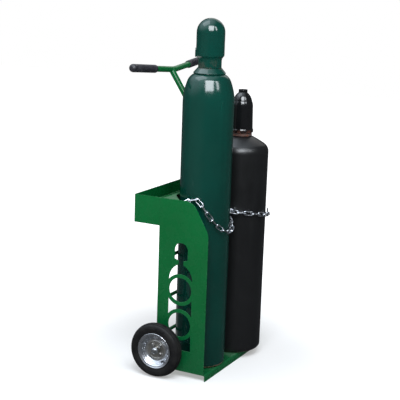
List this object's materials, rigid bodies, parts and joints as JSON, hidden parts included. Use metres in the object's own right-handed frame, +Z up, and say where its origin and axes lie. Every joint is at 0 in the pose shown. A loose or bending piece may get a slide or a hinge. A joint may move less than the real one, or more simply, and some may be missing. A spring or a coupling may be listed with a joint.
{
  "type": "gas cylinder cart",
  "caption": "Steel hand cart on rubber-tyred wheels with a rear tool tray and T handle, carrying a tall oxygen cylinder and a wider acetylene cylinder behind a chain.",
  "frame": {"origin": "on the ground at the middle of the cart's bounding box", "axes": "+X to the right wheel as seen from the open front, +Y to the rear where the tray and handle are, +Z up"},
  "size_m": [0.606, 0.4025, 1.3042],
  "materials": {
    "frame_paint": "gloss green powder coat",
    "grip_rubber": "moulded satin",
    "zinc_steel": "bright zinc plated",
    "tyre_rubber": "smooth matt rubber",
    "tube_rubber": "matt",
    "rim_zinc": "bright plated pressed steel",
    "bronze": "sintered",
    "fastener_zinc": "zinc plated",
    "oxygen_paint": "gloss dark green enamel",
    "brass": "forged and machined",
    "spindle_steel": "turned",
    "handwheel_aluminium": "die cast",
    "acetylene_paint": "satin black enamel",
    "acetylene_neck_steel": "lightly rusted steel"
  },
  "bodies": {
    "cart": {"left_side_panel": "frame_paint", "right_side_panel": "frame_paint", "base_plate": "frame_paint", "lower_rung": "frame_paint", "middle_rung": "frame_paint", "upper_rung": "frame_paint", "tool_tray": "frame_paint", "cradle_plate": "frame_paint", "mast": "frame_paint", "handlebar": "frame_paint", "left_grip": "grip_rubber", "right_grip": "grip_rubber", "left_chain_staple": "zinc_steel", "centre_chain_hook": "zinc_steel", "right_chain_hook": "zinc_steel", "left_chain_run": "zinc_steel", "right_chain_run": "zinc_steel", "left_axle_doubler": "frame_paint", "left_axle_bolt": "fastener_zinc", "left_axle_washers": "fastener_zinc", "left_axle_nut": "fastener_zinc", "left_axle_spacer": "fastener_zinc", "right_axle_doubler": "frame_paint", "right_axle_bolt": "fastener_zinc", "right_axle_washers": "fastener_zinc", "right_axle_nut": "fastener_zinc", "right_axle_spacer": "fastener_zinc"},
    "left_wheel": {"left_tyre": "tyre_rubber", "left_inner_tube": "tube_rubber", "left_outer_rim": "rim_zinc", "left_inner_rim": "rim_zinc", "left_hub": "rim_zinc", "left_bushes": "bronze", "left_rim_bolts": "fastener_zinc", "left_valve_stem": "tube_rubber"},
    "right_wheel": {"right_tyre": "tyre_rubber", "right_inner_tube": "tube_rubber", "right_outer_rim": "rim_zinc", "right_inner_rim": "rim_zinc", "right_hub": "rim_zinc", "right_bushes": "bronze", "right_rim_bolts": "fastener_zinc", "right_valve_stem": "tube_rubber"},
    "oxygen_bottle": {"oxygen_cylinder": "oxygen_paint", "oxygen_neck_ring": "oxygen_paint", "oxygen_valve_body": "brass", "oxygen_packing_nut": "brass"},
    "oxygen_valve_wheel": {"oxygen_valve_spindle": "spindle_steel", "oxygen_handwheel": "handwheel_aluminium"},
    "oxygen_bottle_cap": {"oxygen_cap": "oxygen_paint"},
    "acetylene_bottle": {"acetylene_cylinder": "acetylene_paint", "acetylene_neck_ring": "acetylene_neck_steel", "acetylene_valve_body": "brass"},
    "acetylene_key_spindle": {"acetylene_valve_spindle": "spindle_steel"},
    "acetylene_bottle_cap": {"acetylene_cap": "acetylene_paint"}
  },
  "joints": [
    {"name": "left_wheel_spin", "type": "hinge", "parent": "cart", "child": "left_wheel", "pos_m": [-0.28, 0.041, 0.1016], "axis": [-1, 0, 0], "continuous": true},
    {"name": "right_wheel_spin", "type": "hinge", "parent": "cart", "child": "right_wheel", "pos_m": [0.28, 0.041, 0.1016], "axis": [1, 0, 0], "continuous": true},
    {"name": "oxygen_lift", "type": "slide", "parent": "cart", "child": "oxygen_bottle", "axis": [0, 0, 1], "range_m": [0, 0.72]},
    {"name": "acetylene_lift", "type": "slide", "parent": "cart", "child": "acetylene_bottle", "axis": [0, 0, 1], "range_m": [0, 0.72]},
    {"name": "oxygen_cap_lift", "type": "slide", "parent": "oxygen_bottle", "child": "oxygen_bottle_cap", "axis": [0, 0, 1], "range_m": [0, 0.18]},
    {"name": "acetylene_cap_lift", "type": "slide", "parent": "acetylene_bottle", "child": "acetylene_bottle_cap", "axis": [0, 0, 1], "range_m": [0, 0.17]},
    {"name": "oxygen_valve_turn", "type": "hinge", "parent": "oxygen_bottle", "child": "oxygen_valve_wheel", "pos_m": [-0.1095, -0.0516, 1.23], "axis": [0, 0, 1], "range_deg": [0, 900]},
    {"name": "acetylene_valve_turn", "type": "hinge", "parent": "acetylene_bottle", "child": "acetylene_key_spindle", "pos_m": [0.1166, -0.0815, 0.95], "axis": [0, 0, 1], "range_deg": [0, 540]}
  ]
}
